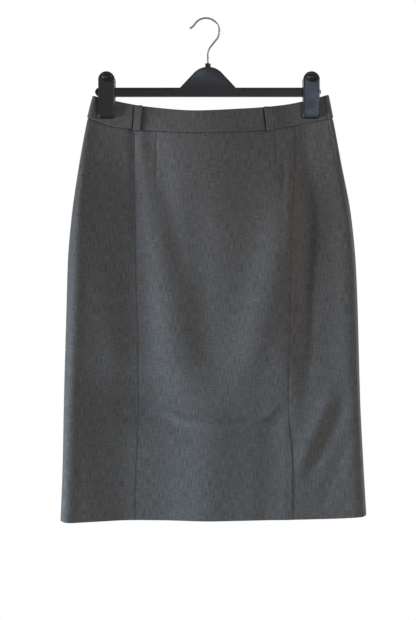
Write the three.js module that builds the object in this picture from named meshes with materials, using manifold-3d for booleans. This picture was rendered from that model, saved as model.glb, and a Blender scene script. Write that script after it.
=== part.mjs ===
// Pencil skirt held by a clip hanger, in millimetres, +Z up, its front towards -Y.
// The origin is inside the crown of the hook, where a rail carries the hanger.
import * as THREE from "three";
import Module from "manifold-3d";
import { mergeVertices } from "three/addons/utils/BufferGeometryUtils.js";

const wasm = await Module();
wasm.setup();

// Cloth walls, and how far a face stands off the skirt's own outer surface
const CLOTH = {
  panelWall: 1.5,
  bandWall: 2.4,
  bandProud: 0.9,
  loopWall: 1.4,
  underlayWall: 1.2,
  underlayGap: 0.8,
  seamGap: 0.3,
};

// The waistband is 36 deep. Between the clips its front and back bow apart by the arch.
const WAIST = { halfPinch: 2.0, arch: 16, flatPast: 5, noseRadius: 4.2, noseFrom: 1 };

// Where it hangs free the tube is flat in front and behind and turns tightly at its edges: a
// curve of this power, not a round. Folds fade out close to the edges and along their own ends.
const TUBE = { power: 6, edgeFade: 0.05, foldFade: 0.3, middleHeight: -400 };

// The tube at each height: its edges seen from the front, how far front and back would stand
// off the hanger's plane if the tube hung free, and how far the clips still hold it flat
const SECTIONS = [
  { z: -118, left: -177.0, right: 192.0, front: 24, back: 23, pinch: 1.0 },
  { z: -157, left: -186.5, right: 200.0, front: 26, back: 25, pinch: 1.0 },
  { z: -225, left: -199.0, right: 212.5, front: 29, back: 28, pinch: 0.86 },
  { z: -310, left: -211.0, right: 228.0, front: 32, back: 31, pinch: 0.55 },
  { z: -385, left: -217.0, right: 235.0, front: 34, back: 33, pinch: 0.32 },
  { z: -445, left: -218.5, right: 237.5, front: 35, back: 34, pinch: 0.17 },
  { z: -600, left: -222.5, right: 241.5, front: 36, back: 35, pinch: 0.0 },
  { z: -700, left: -224.5, right: 246.5, front: 36, back: 35, pinch: 0.0 },
  { z: -795, left: -228.0, right: 252.0, front: 37, back: 36, pinch: 0.0 },
];

// Heights of the band's top edge, the waist seam and the hem, across the skirt from
// its left edge (-1) to its right edge (1)
const EDGE_LINES = [
  { across: -1.0, top: -121.2, seam: -156.0, hem: -787.5 },
  { across: -0.93, top: -124.2, seam: -160.5, hem: -788.6 },
  { across: -0.8, top: -129.3, seam: -168.4, hem: -787.6 },
  { across: -0.5, top: -139.2, seam: -175.7, hem: -786.0 },
  { across: -0.1, top: -145.6, seam: -180.2, hem: -786.0 },
  { across: 0.3, top: -141.6, seam: -177.9, hem: -784.5 },
  { across: 0.6, top: -136.0, seam: -171.0, hem: -783.0 },
  { across: 0.8, top: -128.8, seam: -163.0, hem: -781.5 },
  { across: 1.0, top: -119.7, seam: -155.9, hem: -778.5 },
];

// The two long front seams, as places across at each height
const FRONT_SEAMS = [
  { z: -160, left: -112.8, right: 140.1 },
  { z: -240, left: -113.0, right: 138.6 },
  { z: -270, left: -112.6, right: 136.8 },
  { z: -340, left: -110.7, right: 130.9 },
  { z: -410, left: -109.0, right: 129.3 },
  { z: -530, left: -105.2, right: 128.4 },
  { z: -610, left: -105.2, right: 128.2 },
  { z: -660, left: -108.3, right: 129.6 },
  { z: -710, left: -112.9, right: 130.9 },
  { z: -795, left: -115.1, right: 130.1 },
];

// The tube hangs turned a little, so its side seams and back seam lie off the edges and centre
const TURN = { leftSide: 0.25, rightSide: 0.3, backSeam: 0.04 };

// Each slit in the hem: how high it starts and how its upper edge, on the left, stands proud
const SLIT = { top: -608, underlap: 34, inset: 10, lift: 3.4, liftWidth: 24, liftRun: 60,
  underlayDown: 6, underlayShort: 1.5 };

// Soft folds: a line from top to bottom across the cloth, its half width and its rise.
// One that runs off the hem isn't closed at the bottom.
const FRONT_FOLDS = [
  { name: "left roll", x: -192, z: -120, toX: -217, toZ: -800, width: 13, rise: 5, closed: 0 },
  { name: "left hollow", x: -125, z: -150, toX: -100, toZ: -640, width: 46, rise: -14, closed: 1 },
  { name: "low hollow", x: -112, z: -520, toX: -98, toZ: -800, width: 64, rise: -20, closed: 0 },
  { name: "left crest", x: -100, z: -190, toX: -45, toZ: -600, width: 20, rise: 3, closed: 1 },
  { name: "middle hollow", x: -20, z: -230, toX: 0, toZ: -610, width: 28, rise: -4, closed: 1 },
  { name: "right crest", x: 138, z: -250, toX: 38, toZ: -620, width: 26, rise: 6, closed: 1 },
  { name: "right shelf", x: 122, z: -160, toX: 102, toZ: -620, width: 40, rise: 5, closed: 1 },
  { name: "clip hollow", x: 168, z: -165, toX: 152, toZ: -660, width: 12, rise: -3, closed: 1 },
  { name: "right roll", x: 210, z: -200, toX: 240, toZ: -800, width: 20, rise: 3, closed: 0 },
  { name: "slit pull", x: 207, z: -560, toX: 136, toZ: -718, width: 12, rise: 4, closed: 1 },
  { name: "slit furrow", x: 226, z: -575, toX: 150, toZ: -738, width: 11, rise: -3, closed: 1 },
  { name: "hem furrow", x: 232, z: -640, toX: 170, toZ: -775, width: 11, rise: -1.5, closed: 1 },
  { name: "low crest", x: 10, z: -590, toX: 4, toZ: -800, width: 32, rise: 3, closed: 0 },
  { name: "slit hollow", x: 103, z: -590, toX: 96, toZ: -800, width: 17, rise: -3, closed: 0 },
];
const BACK_FOLDS = [
  { name: "left roll", x: -196, z: -230, toX: -216, toZ: -800, width: 17, rise: 4, closed: 0 },
  { name: "left hollow", x: -152, z: -170, toX: -136, toZ: -700, width: 20, rise: -7, closed: 1 },
  { name: "left crest", x: -98, z: -230, toX: -50, toZ: -620, width: 26, rise: 5, closed: 1 },
  { name: "middle hollow", x: 12, z: -230, toX: 6, toZ: -640, width: 32, rise: -6, closed: 1 },
  { name: "right crest", x: 112, z: -245, toX: 62, toZ: -590, width: 26, rise: 5, closed: 1 },
  { name: "right hollow", x: 150, z: -150, toX: 128, toZ: -800, width: 42, rise: -11, closed: 0 },
  { name: "right roll", x: 206, z: -230, toX: 236, toZ: -800, width: 18, rise: 4, closed: 0 },
];

// Belt loops: where each crosses the band's top and the waist seam
const LOOPS = [
  { name: "belt_loop_front_left", side: "front", topX: -105.5, bottomX: -109.5 },
  { name: "belt_loop_front_right", side: "front", topX: 96.8, bottomX: 101.0 },
  { name: "belt_loop_back_left", side: "back", topX: -96.0, bottomX: -98.0 },
  { name: "belt_loop_back_right", side: "back", topX: 112.0, bottomX: 114.5 },
];
const LOOP = { width: 11.5, below: 5, bow: 1.8, bowPower: 0.6, footGap: 0.35, middle: -140 };

// Hanger sizes
const BAR = { left: -174.4, right: 180.7, top: -108.7, bottom: -122.4, depth: 9, flange: 2.5,
  recess: 2.6 };
const HUMP = { centre: 3.0, halfBase: 43.7, halfShoulder: 21, shoulder: -84.4, crown: -75.9,
  footDrop: 4, footRise: 0.2, depth: 7, rim: 1.6, rimProud: 0.9, plateLow: 49, plateHigh: 56,
  plateInset: 1 };
const BOSS = { radius: 4.4, top: -70.4, sunk: 2, holeDepth: 8, sides: 24, holeSides: 16 };
const HOOK = { wire: 3.0, bend: 21.0, fromAngle: -31, toAngle: 151, fit: 0.3, arcSteps: 13,
  rings: 44 };
const CLIP = { width: 26, top: -84.3, bottom: -157.6, leftCentre: -156.0, rightCentre: 165.4,
  cornerRadius: 4.7, jawFace: 3.25, barRoom: 0.35, leverFrom: 4, underBar: 0.5, lipFrom: 3 };
const THUMB = { across: 1.5, down: 10, wide: 9.5, deep: 3.2, high: 5.8, out: 11.4 };
const SPRING = { width: 12, strip: 0.8, tipOut: 8.2, tipDown: 4.5, kneeIn: 0.6, kneeUp: 5.2,
  footUp: 0.3, bend: 1 };

// The hook's shank and tip, as places across and heights: the shank leans out into its bend,
// and past the arc the tip turns away again
const SHANK = [
  { x: 3.0, z: -78.1 },
  { x: 3.0, z: -62.0 },
  { x: 3.1, z: -55.0 },
  { x: 6.6, z: -45.0 },
];
const TIP = [
  { x: -22.4, z: -13.2 },
  { x: -26.0, z: -15.0 },
];

// A jaw from the side: how far its outer face stands from the hanger's plane, from the lip
// that grips the band, over the bar, to the finger lever
const JAW_FACE = [
  { z: -157.6, out: 7.65 },
  { z: -140.0, out: 9.85 },
  { z: -119.4, out: 11.85 },
  { z: -108.7, out: 13.25 },
  { z: -76.3, out: 14.85 },
  { z: -76.3, out: 13.2 },
];

// How far a cutting solid runs past what it cuts
const PAST = 0.01;

const GREY_CLOTH = { color: 0x4b4a4c, roughness: 0.92, metalness: 0 };
const BLACK_PLASTIC = { color: 0x17181b, roughness: 0.42, metalness: 0 };
const BRIGHT_STEEL = { color: 0xb3aca2, roughness: 0.28, metalness: 1 };

const group = new THREE.Group();

function add(name, geometry, finish) {
  const mesh = new THREE.Mesh(geometry, new THREE.MeshStandardMaterial(finish));
  mesh.name = name;
  group.add(mesh);
}

function smooth(t) {
  const u = THREE.MathUtils.clamp(t, 0, 1);
  return u * u * (3 - 2 * u);
}

// A column of a table at a place between its rows, joined by smooth Hermite curves
function read(table, key, column, place) {
  const sign = Math.sign(table[1][key] - table[0][key]);
  const count = table.length;
  let row = 0;
  while (row < count - 2 && sign * place > sign * table[row + 1][key]) {
    row += 1;
  }
  const slope = (i) => (table[i + 1][column] - table[i][column]) / (table[i + 1][key] - table[i][key]);
  const tangent = (i) => {
    if (i === 0) {
      return slope(0);
    }
    if (i === count - 1) {
      return slope(count - 2);
    }
    const before = slope(i - 1);
    const after = slope(i);
    return before * after <= 0 ? 0 : (2 * before * after) / (before + after);
  };
  const span = table[row + 1][key] - table[row][key];
  const t = THREE.MathUtils.clamp((place - table[row][key]) / span, 0, 1);
  const rise = table[row + 1][column] - table[row][column];
  const start = tangent(row) * span;
  const end = tangent(row + 1) * span;
  return table[row][column] + start * t + (3 * rise - 2 * start - end) * t * t
    + (start + end - 2 * rise) * t * t * t;
}

function foldRise(folds, x, z) {
  let rise = 0;
  for (const fold of folds) {
    const alongX = fold.toX - fold.x;
    const alongZ = fold.toZ - fold.z;
    const length = Math.hypot(alongX, alongZ);
    const t = ((x - fold.x) * alongX + (z - fold.z) * alongZ) / (length * length);
    const away = ((x - fold.x) * alongZ - (z - fold.z) * alongX) / length;
    const fade = smooth(t / TUBE.foldFade) * (fold.closed ? smooth((1 - t) / TUBE.foldFade) : 1);
    rise += fold.rise * fade * Math.exp(-((away / fold.width) ** 2));
  }
  return rise;
}

// How far the skirt's outer surface stands off the hanger's plane. Held flat it is the pinch,
// with an arch between the clips and a round nose at each edge; hanging free it is the tube's
// own flat curve.
function standOff(side, across, x, z, left, right) {
  const pinch = read(SECTIONS, "z", "pinch", z);
  const free = read(SECTIONS, "z", side, z)
    * Math.max(0, 1 - Math.abs(across) ** TUBE.power) ** (1 / TUBE.power);
  const fromLeft = x - left;
  const fromRight = right - x;
  const archFrom = CLIP.leftCentre + CLIP.width / 2 + WAIST.flatPast;
  const archTo = CLIP.rightCentre - CLIP.width / 2 - WAIST.flatPast;
  const loopLeft = CLIP.leftCentre - CLIP.width / 2 - WAIST.noseFrom - left;
  const loopRight = right - CLIP.rightCentre - CLIP.width / 2 - WAIST.noseFrom;
  const nose = WAIST.noseRadius;
  let flat = WAIST.halfPinch;
  if (x > archFrom && x < archTo) {
    flat += WAIST.arch * Math.sin((Math.PI * (x - archFrom)) / (archTo - archFrom)) ** 2;
  }
  flat += (nose - WAIST.halfPinch) * smooth((loopLeft - fromLeft) / (loopLeft - nose));
  flat += (nose - WAIST.halfPinch) * smooth((loopRight - fromRight) / (loopRight - nose));
  const round = Math.max(0, 1 - Math.min(fromLeft, fromRight) / nose);
  const held = flat * Math.sqrt(Math.max(0, 1 - round * round));
  const folds = side === "front" ? FRONT_FOLDS : BACK_FOLDS;
  const edgeFade = smooth((1 - Math.abs(across)) / TUBE.edgeFade);
  return pinch * held + (1 - pinch) * free + edgeFade * foldRise(folds, x, z);
}

// A point of the skirt's outer surface. The angle runs from the left edge (0) over the front
// to the right edge (PI) and over the back to the left edge again; z is the height.
function surface(angle, z) {
  const across = -Math.cos(angle);
  const left = read(SECTIONS, "z", "left", z);
  const right = read(SECTIONS, "z", "right", z);
  const x = (left + right) / 2 + (across * (right - left)) / 2;
  const onFront = Math.sin(angle) >= 0;
  const off = standOff(onFront ? "front" : "back", across, x, z, left, right);
  return new THREE.Vector3(x, onFront ? -off : off, z);
}

function outward(angle, z) {
  const turn = 0.004;
  const rise = 1.5;
  const across = surface(angle + turn, z).sub(surface(angle - turn, z));
  const up = surface(angle, z + rise).sub(surface(angle, z - rise));
  return across.cross(up).normalize();
}

const heightAt = (line, angle) => read(EDGE_LINES, "across", line, -Math.cos(angle));

// The angle at which the front or back passes a place across at a height
function angleAt(side, x, z) {
  const left = read(SECTIONS, "z", "left", z);
  const right = read(SECTIONS, "z", "right", z);
  const across = THREE.MathUtils.clamp((2 * x - left - right) / (right - left), -1, 1);
  const angle = Math.acos(-across);
  return side === "front" ? angle : 2 * Math.PI - angle;
}

// The seams that panels end on, each as an angle at a height
const SEAM = {
  leftSide: () => -TURN.leftSide,
  leftFront: (z) => angleAt("front", read(FRONT_SEAMS, "z", "left", z), z),
  rightFront: (z) => angleAt("front", read(FRONT_SEAMS, "z", "right", z), z),
  rightSide: () => Math.PI - TURN.rightSide,
  backCentre: () => 1.5 * Math.PI + TURN.backSeam,
  leftSideFromBack: () => 2 * Math.PI - TURN.leftSide,
};

// Millimetres along the cloth for one radian of angle
function stretch(angle, z) {
  const step = 0.01;
  return surface(angle + step, z).distanceTo(surface(angle - step, z)) / (2 * step);
}

// A closed wall over a grid of outer and inner points, from functions that place them
function wallGeometry(columns, rows, outer, inner) {
  const positions = [];
  for (const place of [outer, inner]) {
    for (let j = 0; j <= rows; j += 1) {
      for (let i = 0; i <= columns; i += 1) {
        const point = place(i / columns, j / rows);
        positions.push(point.x, point.y, point.z);
      }
    }
  }
  const layer = (columns + 1) * (rows + 1);
  const at = (i, j) => j * (columns + 1) + i;
  const index = [];
  const quad = (a, b, c, d) => index.push(a, b, c, a, c, d);
  for (let j = 0; j < rows; j += 1) {
    for (let i = 0; i < columns; i += 1) {
      quad(at(i, j), at(i, j + 1), at(i + 1, j + 1), at(i + 1, j));
      quad(layer + at(i, j), layer + at(i + 1, j), layer + at(i + 1, j + 1), layer + at(i, j + 1));
    }
  }
  for (let i = 0; i < columns; i += 1) {
    quad(at(i, 0), at(i + 1, 0), layer + at(i + 1, 0), layer + at(i, 0));
    quad(at(i + 1, rows), at(i, rows), layer + at(i, rows), layer + at(i + 1, rows));
  }
  for (let j = 0; j < rows; j += 1) {
    quad(at(0, j + 1), at(0, j), layer + at(0, j), layer + at(0, j + 1));
    quad(at(columns, j), at(columns, j + 1), layer + at(columns, j + 1), layer + at(columns, j));
  }
  const geometry = new THREE.BufferGeometry();
  geometry.setAttribute("position", new THREE.Float32BufferAttribute(positions, 3));
  geometry.setIndex(index);
  geometry.computeVertexNormals();
  return geometry;
}

// A piece of the tube between two seams and two edge lines. Its outer face stands proud of
// the skirt's surface by `proud`, and `lift` raises both faces by a further amount.
function tubePiece(piece) {
  const half = CLOTH.seamGap / 2;
  const lift = piece.lift ?? (() => 0);
  const place = (depth) => (u, v) => {
    const first = piece.from(TUBE.middleHeight);
    let angle = first + u * (piece.to(TUBE.middleHeight) - first);
    let z = 0;
    for (let pass = 0; pass < 3; pass += 1) {
      const high = heightAt(piece.high, angle) - (piece.high === "seam" ? half : 0);
      const low = heightAt(piece.low, angle) + (piece.low === "seam" ? half : 0);
      z = high + v * (low - high);
      const from = piece.from(z) + half / stretch(piece.from(z), z);
      const to = piece.to(z) - half / stretch(piece.to(z), z);
      angle = from + u * (to - from);
    }
    const point = surface(angle, z);
    const off = piece.proud - depth + lift(angle, z, point.x);
    return point.addScaledVector(outward(angle, z), off);
  };
  return wallGeometry(piece.columns, piece.rows, place(0), place(piece.wall));
}

// Over a slit the cloth on the left stands proud along the edge
function slitLift(seam) {
  return (angle, z, x) => {
    const edge = surface(seam(z), z).x;
    const near = smooth(1 - (edge - x) / SLIT.liftWidth);
    return SLIT.lift * near * smooth((SLIT.top - z) / SLIT.liftRun);
  };
}

function addPanels() {
  const panel = { high: "seam", low: "hem", proud: 0, wall: CLOTH.panelWall };
  add("centre_front_panel", tubePiece({ ...panel, from: SEAM.leftFront, to: SEAM.rightFront,
    columns: 22, rows: 24, lift: slitLift(SEAM.rightFront) }), GREY_CLOTH);
  add("side_front_panel_left", tubePiece({ ...panel, from: SEAM.leftSide, to: SEAM.leftFront,
    columns: 12, rows: 22, lift: slitLift(SEAM.leftFront) }), GREY_CLOTH);
  add("side_front_panel_right", tubePiece({ ...panel, from: SEAM.rightFront, to: SEAM.rightSide,
    columns: 11, rows: 24 }), GREY_CLOTH);
  add("back_panel_right", tubePiece({ ...panel, from: SEAM.rightSide, to: SEAM.backCentre,
    columns: 18, rows: 20 }), GREY_CLOTH);
  add("back_panel_left", tubePiece({ ...panel, from: SEAM.backCentre, to: SEAM.leftSideFromBack,
    columns: 18, rows: 20 }), GREY_CLOTH);
}

function addWaistbands() {
  const band = { high: "top", low: "seam", proud: CLOTH.bandProud, wall: CLOTH.bandWall, rows: 3 };
  add("front_waistband", tubePiece({ ...band, from: SEAM.leftSide, to: SEAM.rightSide,
    columns: 44 }), GREY_CLOTH);
  add("back_waistband_right", tubePiece({ ...band, from: SEAM.rightSide, to: SEAM.backCentre,
    columns: 24 }), GREY_CLOTH);
  add("back_waistband_left", tubePiece({ ...band, from: SEAM.backCentre,
    to: SEAM.leftSideFromBack, columns: 24 }), GREY_CLOTH);
}

// The cloth behind a slit: from a little way under the panel on the right of the slit
// to its own edge behind the panel on the left
function addUnderlay(name, seam) {
  const offset = CLOTH.panelWall + CLOTH.underlayGap;
  const place = (depth) => (u, v) => {
    const top = SLIT.top + SLIT.underlayDown;
    let z = top;
    let angle = seam(z);
    for (let pass = 0; pass < 3; pass += 1) {
      z = top + v * (heightAt("hem", angle) + SLIT.underlayShort - top);
      const step = stretch(seam(z), z);
      angle = seam(z) + (u * (SLIT.underlap + SLIT.inset) - SLIT.underlap) / step;
    }
    return surface(angle, z).addScaledVector(outward(angle, z), -offset - depth);
  };
  add(name, wallGeometry(6, 14, place(0), place(CLOTH.underlayWall)), GREY_CLOTH);
}

// A belt loop lies on the band, sewn down at both ends and bowed out between them
function addLoop(loop) {
  const place = (depth) => (u, v) => {
    const middle = angleAt(loop.side, loop.topX + v * (loop.bottomX - loop.topX), LOOP.middle);
    const high = heightAt("top", middle);
    const z = high + v * (heightAt("seam", middle) - LOOP.below - high);
    const turn = loop.side === "front" ? 1 : -1;
    const across = loop.topX + v * (loop.bottomX - loop.topX) + turn * (u - 0.5) * LOOP.width;
    const angle = angleAt(loop.side, across, z);
    const off = CLOTH.bandProud + LOOP.footGap + CLOTH.loopWall - depth
      + LOOP.bow * Math.sin(Math.PI * v) ** LOOP.bowPower;
    return surface(angle, z).addScaledVector(outward(angle, z), off);
  };
  add(loop.name, wallGeometry(2, 8, place(0), place(CLOTH.loopWall)), GREY_CLOTH);
}

function solid(geometry) {
  const bare = geometry.index ? geometry.toNonIndexed() : geometry.clone();
  bare.deleteAttribute("normal");
  bare.deleteAttribute("uv");
  const merged = mergeVertices(bare, 1e-4);
  return new wasm.Manifold(new wasm.Mesh({
    numProp: 3,
    vertProperties: new Float32Array(merged.attributes.position.array),
    triVerts: new Uint32Array(merged.index.array),
  }));
}

function toGeometry(manifold) {
  const mesh = manifold.getMesh();
  const geometry = new THREE.BufferGeometry();
  geometry.setAttribute("position", new THREE.Float32BufferAttribute(mesh.vertProperties, 3));
  geometry.setIndex(new THREE.Uint32BufferAttribute(mesh.triVerts, 1));
  geometry.computeVertexNormals();
  return geometry;
}

// A plate drawn in the front view (x, z), centred on a depth
function frontPlate(shape, depth, middle = 0, curveSegments = 10) {
  const geometry = new THREE.ExtrudeGeometry(shape, { depth, bevelEnabled: false, curveSegments });
  geometry.rotateX(Math.PI / 2);
  geometry.translate(0, middle + depth / 2, 0);
  return geometry;
}

// A profile drawn in the side view (y, z), centred on a place across
function sideProfile(shape, width, centre) {
  const geometry = new THREE.ExtrudeGeometry(shape, { depth: width, bevelEnabled: false,
    curveSegments: 6 });
  geometry.translate(0, 0, -width / 2);
  const turn = new THREE.Matrix4().makeBasis(new THREE.Vector3(0, 1, 0),
    new THREE.Vector3(0, 0, 1), new THREE.Vector3(1, 0, 0));
  geometry.applyMatrix4(turn);
  geometry.translate(centre, 0, 0);
  return geometry;
}

function stadium(left, right, bottom, top) {
  const radius = (top - bottom) / 2;
  const shape = new THREE.Shape();
  shape.absarc(right - radius, bottom + radius, radius, -Math.PI / 2, Math.PI / 2, false);
  shape.absarc(left + radius, bottom + radius, radius, Math.PI / 2, 1.5 * Math.PI, false);
  return shape;
}

// The hump: a straight foot and flank on each side of a round crown. An inset outline, for
// the pocket inside the rim, keeps its flanks as far in from the outer ones as its crown.
function humpOutline(inset) {
  const run = HUMP.halfBase - HUMP.halfShoulder;
  const drop = HUMP.shoulder - BAR.top - HUMP.footRise;
  const alongFoot = (inset * Math.hypot(run, drop)) / drop;
  const rise = HUMP.crown - HUMP.shoulder;
  const radius = (HUMP.halfShoulder ** 2 + rise ** 2) / (2 * rise) - inset;
  const centreZ = HUMP.crown - inset - radius;
  const open = Math.acos((HUMP.halfShoulder - inset / 2) / radius);
  const foot = HUMP.halfBase - alongFoot;
  const shape = new THREE.Shape();
  shape.moveTo(HUMP.centre - foot, BAR.top - HUMP.footDrop);
  shape.lineTo(HUMP.centre + foot, BAR.top - HUMP.footDrop);
  shape.lineTo(HUMP.centre + foot, BAR.top + HUMP.footRise);
  shape.absarc(HUMP.centre, centreZ, radius, open, Math.PI - open, false);
  shape.lineTo(HUMP.centre - foot, BAR.top + HUMP.footRise);
  return shape;
}

// The solid bar, hollowed between its flanges, with the middle plate and the hump, whose faces
// lie in a shallow pocket inside a rim, and the boss that holds the wire
function addBar() {
  let bar = solid(frontPlate(stadium(BAR.left, BAR.right, BAR.bottom, BAR.top), BAR.depth));
  const hollow = stadium(BAR.left + BAR.flange, BAR.right - BAR.flange, BAR.bottom + BAR.flange,
    BAR.top - BAR.flange);
  const hollowMiddle = BAR.depth / 2 - BAR.recess / 2 + PAST;
  for (const side of [1, -1]) {
    bar = bar.subtract(solid(frontPlate(hollow, BAR.recess + 2 * PAST, side * hollowMiddle)));
  }
  const plate = new THREE.Shape();
  plate.moveTo(HUMP.centre - HUMP.plateLow, BAR.bottom + HUMP.plateInset);
  plate.lineTo(HUMP.centre + HUMP.plateLow, BAR.bottom + HUMP.plateInset);
  plate.lineTo(HUMP.centre + HUMP.plateHigh, BAR.top - HUMP.plateInset);
  plate.lineTo(HUMP.centre - HUMP.plateHigh, BAR.top - HUMP.plateInset);
  bar = bar.add(solid(frontPlate(plate, BAR.depth)));
  const humpDepth = HUMP.depth + 2 * HUMP.rimProud;
  bar = bar.add(solid(frontPlate(humpOutline(0), humpDepth)));
  const above = new THREE.BoxGeometry(4 * HUMP.halfBase, 4 * humpDepth, 2 * HUMP.halfBase);
  above.translate(HUMP.centre, 0, BAR.top + HUMP.halfBase);
  const pocket = humpOutline(HUMP.rim);
  const pocketMiddle = (HUMP.depth + HUMP.rimProud) / 2 + PAST;
  for (const side of [1, -1]) {
    const cut = solid(frontPlate(pocket, HUMP.rimProud + 2 * PAST, side * pocketMiddle));
    bar = bar.subtract(cut.intersect(solid(above)));
  }
  const bossHeight = BOSS.top - HUMP.crown + BOSS.sunk;
  const boss = new THREE.CylinderGeometry(BOSS.radius, BOSS.radius, bossHeight, BOSS.sides);
  boss.rotateX(Math.PI / 2);
  boss.translate(HUMP.centre, 0, BOSS.top - bossHeight / 2);
  const holeRadius = HOOK.wire / 2 + HOOK.fit;
  const hole = new THREE.CylinderGeometry(holeRadius, holeRadius, 2 * BOSS.holeDepth,
    BOSS.holeSides);
  hole.rotateX(Math.PI / 2);
  hole.translate(HUMP.centre, 0, BOSS.top);
  bar = bar.add(solid(boss)).subtract(solid(hole));
  add("hanger_bar", toGeometry(bar), BLACK_PLASTIC);
}

// The wire: a straight shank, an easy bend out to the right, a round bend over the rail and
// a tip that turns away again on the left
function addHook() {
  const point = (place) => new THREE.Vector3(place.x, 0, place.z);
  const centreZ = HOOK.wire / 2 - HOOK.bend;
  const arc = [];
  for (let i = 0; i <= HOOK.arcSteps; i += 1) {
    const angle = THREE.MathUtils.degToRad(
      HOOK.fromAngle + ((HOOK.toAngle - HOOK.fromAngle) * i) / HOOK.arcSteps);
    arc.push({ x: HOOK.bend * Math.cos(angle), z: centreZ + HOOK.bend * Math.sin(angle) });
  }
  const path = new THREE.CatmullRomCurve3([...SHANK, ...arc, ...TIP].map(point), false,
    "centripetal");
  const section = new THREE.Shape();
  section.absarc(0, 0, HOOK.wire / 2, 0, 2 * Math.PI, false);
  const wire = new THREE.ExtrudeGeometry(section, { steps: HOOK.rings, bevelEnabled: false,
    extrudePath: path, curveSegments: 5 });
  add("hanger_hook", toGeometry(solid(wire)), BRIGHT_STEEL);
}

// A jaw's side view: the lip, the step round the bar and the opening between the levers
function jawProfile(side) {
  const lip = CLIP.jawFace;
  const room = BAR.depth / 2 + CLIP.barRoom;
  const shape = new THREE.Shape();
  shape.moveTo(side * lip, CLIP.bottom);
  for (const row of JAW_FACE) {
    shape.lineTo(side * row.out, row.z);
  }
  shape.lineTo(side * room, BAR.top + CLIP.leverFrom);
  shape.lineTo(side * room, BAR.bottom - CLIP.underBar);
  shape.lineTo(side * lip, BAR.bottom - CLIP.lipFrom);
  return shape;
}

// A jaw's front view: a half round top and small round corners at the bottom
function jawOutline(centre) {
  const half = CLIP.width / 2;
  const corner = CLIP.cornerRadius;
  const shape = new THREE.Shape();
  shape.absarc(centre, CLIP.top - half, half, 0, Math.PI, false);
  shape.absarc(centre - half + corner, CLIP.bottom + corner, corner, Math.PI, 1.5 * Math.PI, false);
  shape.absarc(centre + half - corner, CLIP.bottom + corner, corner, 1.5 * Math.PI, 2 * Math.PI,
    false);
  return shape;
}

function addJaw(name, centre, side) {
  let jaw = solid(sideProfile(jawProfile(side), 2 * CLIP.width, centre));
  jaw = jaw.intersect(solid(frontPlate(jawOutline(centre), 2 * CLIP.width, 0, 8)));
  const thumb = new THREE.SphereGeometry(1, 16, 8);
  thumb.scale(THUMB.wide, THUMB.deep, THUMB.high);
  thumb.translate(centre + THUMB.across, side * (BAR.depth / 2 + THUMB.out + CLIP.barRoom),
    CLIP.top - THUMB.down);
  jaw = jaw.subtract(solid(thumb));
  add(name, toGeometry(jaw), BLACK_PLASTIC);
}

// The leaf spring that sits on the bar and pushes the two finger levers apart
function addSpring(name, centre) {
  const tip = { out: SPRING.tipOut, z: CLIP.top - SPRING.tipDown };
  const knee = { out: BAR.depth / 2 - SPRING.kneeIn, z: BAR.top + SPRING.kneeUp };
  const foot = BAR.top + SPRING.footUp;
  const inner = knee.out - SPRING.strip;
  const shape = new THREE.Shape();
  shape.moveTo(-tip.out, tip.z);
  shape.lineTo(-knee.out, knee.z);
  shape.quadraticCurveTo(SPRING.bend - knee.out, foot, 0, foot);
  shape.quadraticCurveTo(knee.out - SPRING.bend, foot, knee.out, knee.z);
  shape.lineTo(tip.out, tip.z);
  shape.lineTo(tip.out - SPRING.strip, tip.z);
  shape.lineTo(inner, knee.z);
  shape.quadraticCurveTo(inner - SPRING.bend, foot + SPRING.strip, 0, foot + SPRING.strip);
  shape.quadraticCurveTo(SPRING.bend - inner, foot + SPRING.strip, -inner, knee.z);
  shape.lineTo(SPRING.strip - tip.out, tip.z);
  add(name, toGeometry(solid(sideProfile(shape, SPRING.width, centre))), BRIGHT_STEEL);
}

addPanels();
addWaistbands();
addUnderlay("kick_pleat_underlay_left", SEAM.leftFront);
addUnderlay("kick_pleat_underlay_right", SEAM.rightFront);
LOOPS.forEach(addLoop);
addBar();
addHook();
for (const [place, centre] of [["left", CLIP.leftCentre], ["right", CLIP.rightCentre]]) {
  addJaw(`clip_jaw_front_${place}`, centre, -1);
  addJaw(`clip_jaw_back_${place}`, centre, 1);
  addSpring(`clip_spring_${place}`, centre);
}

export default group;
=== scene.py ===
import math

import bmesh
import bpy
import numpy as np
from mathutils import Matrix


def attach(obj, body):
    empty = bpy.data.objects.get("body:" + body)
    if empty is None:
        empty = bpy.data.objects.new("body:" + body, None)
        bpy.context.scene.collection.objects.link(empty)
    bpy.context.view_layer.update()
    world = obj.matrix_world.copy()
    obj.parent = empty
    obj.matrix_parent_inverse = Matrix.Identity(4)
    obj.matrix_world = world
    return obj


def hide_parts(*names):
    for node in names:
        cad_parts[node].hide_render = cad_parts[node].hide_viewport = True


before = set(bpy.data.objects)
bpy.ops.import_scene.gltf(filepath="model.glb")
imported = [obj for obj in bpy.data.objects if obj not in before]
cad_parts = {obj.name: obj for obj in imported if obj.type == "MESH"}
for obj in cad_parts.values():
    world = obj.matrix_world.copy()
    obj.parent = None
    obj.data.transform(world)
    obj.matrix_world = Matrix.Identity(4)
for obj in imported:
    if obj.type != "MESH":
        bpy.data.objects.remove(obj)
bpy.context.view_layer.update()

scene = bpy.context.scene
root = "root"

# Lengths are in millimetres until a mesh is made. +Z is up and the skirt's front faces -Y.


def linearColour(hexCode):
    # sRGB hex to linear: each channel over 255, a straight foot below 0.04045 and a 2.4 power above
    channels = [int(hexCode[i:i + 2], 16) / 255 for i in (0, 2, 4)]
    return [c / 12.92 if c <= 0.04045 else ((c + 0.055) / 1.055) ** 2.4 for c in channels] + [1.0]


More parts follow.
